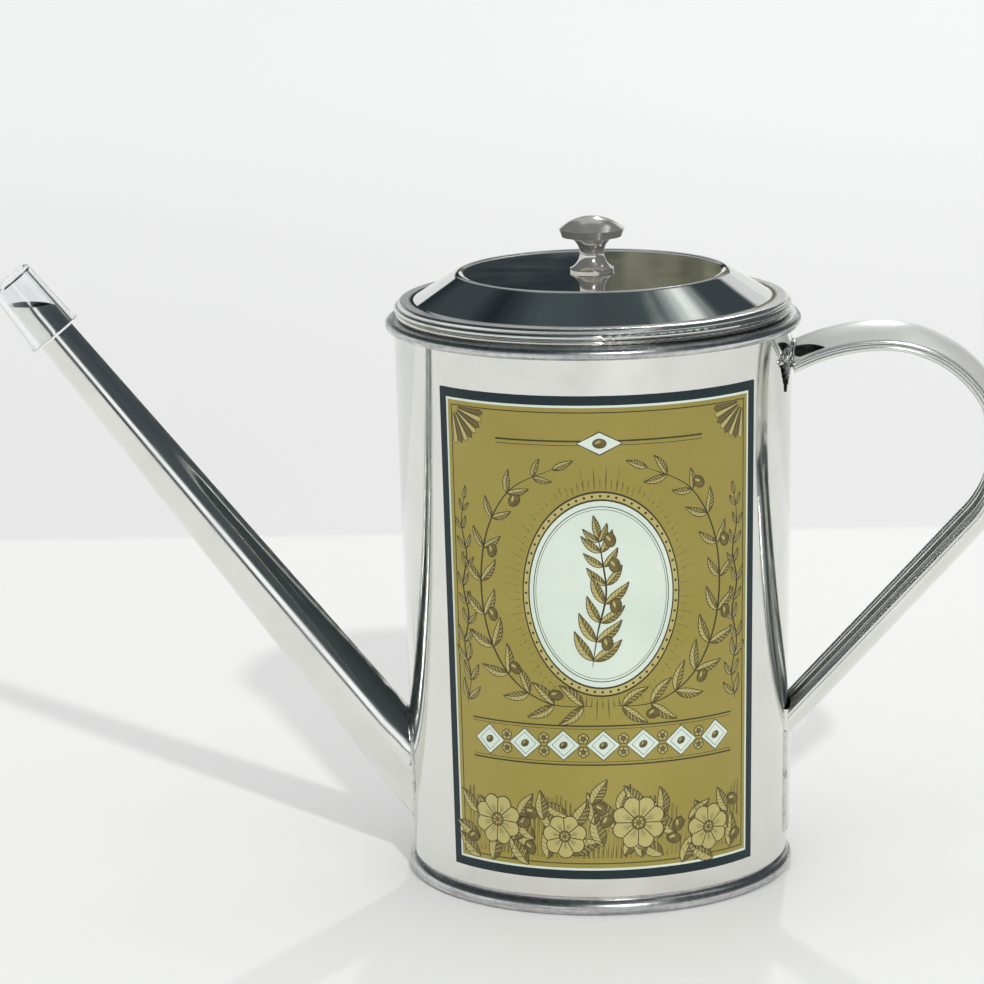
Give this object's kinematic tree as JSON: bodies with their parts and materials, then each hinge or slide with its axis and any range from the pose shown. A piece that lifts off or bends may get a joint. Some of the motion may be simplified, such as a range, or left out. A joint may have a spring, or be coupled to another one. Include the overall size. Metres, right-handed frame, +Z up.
{
  "type": "oil can",
  "caption": "Round sheet-metal table oil can, slightly tapered, with a long straight pouring spout, a clear push-on cap, a strap handle and a stepped lift-off lid with a knob.",
  "frame": {"origin": "centre of the flat on the underside of the foot bead, on the can's axis", "axes": "+Z up along the can's axis, -X along the spout's lean, +X towards the handle, -Y out of the middle of the printed panel"},
  "size_m": [0.2697, 0.1094, 0.1756],
  "materials": {
    "polished_steel": "polished",
    "dull_steel": "satin",
    "printed_panel": "gloss print",
    "solder": "cast",
    "clear_plastic": "clear",
    "knob_metal": "polished",
    "fastener": "plated"
  },
  "bodies": {
    "can": {"can_wall": "polished_steel", "rim_ring": "dull_steel", "base_pan": "dull_steel", "label": "printed_panel", "spout_tube": "polished_steel", "spout_joint": "solder", "handle_strap": "polished_steel", "handle_top_joint": "solder", "handle_foot_joint": "solder"},
    "lid": {"lid_shell": "polished_steel", "lid_collar": "polished_steel", "lid_knob": "knob_metal", "knob_washer": "fastener", "knob_screw": "fastener"},
    "cap": {"spout_cap": "clear_plastic"}
  },
  "joints": [
    {"name": "lid_lift", "type": "slide", "parent": "can", "child": "lid", "axis": [0, 0, 1], "range_m": [0, 0.06]},
    {"name": "cap_pull", "type": "slide", "parent": "can", "child": "cap", "axis": [-0.6136, 0, 0.7896], "range_m": [0, 0.03]}
  ]
}
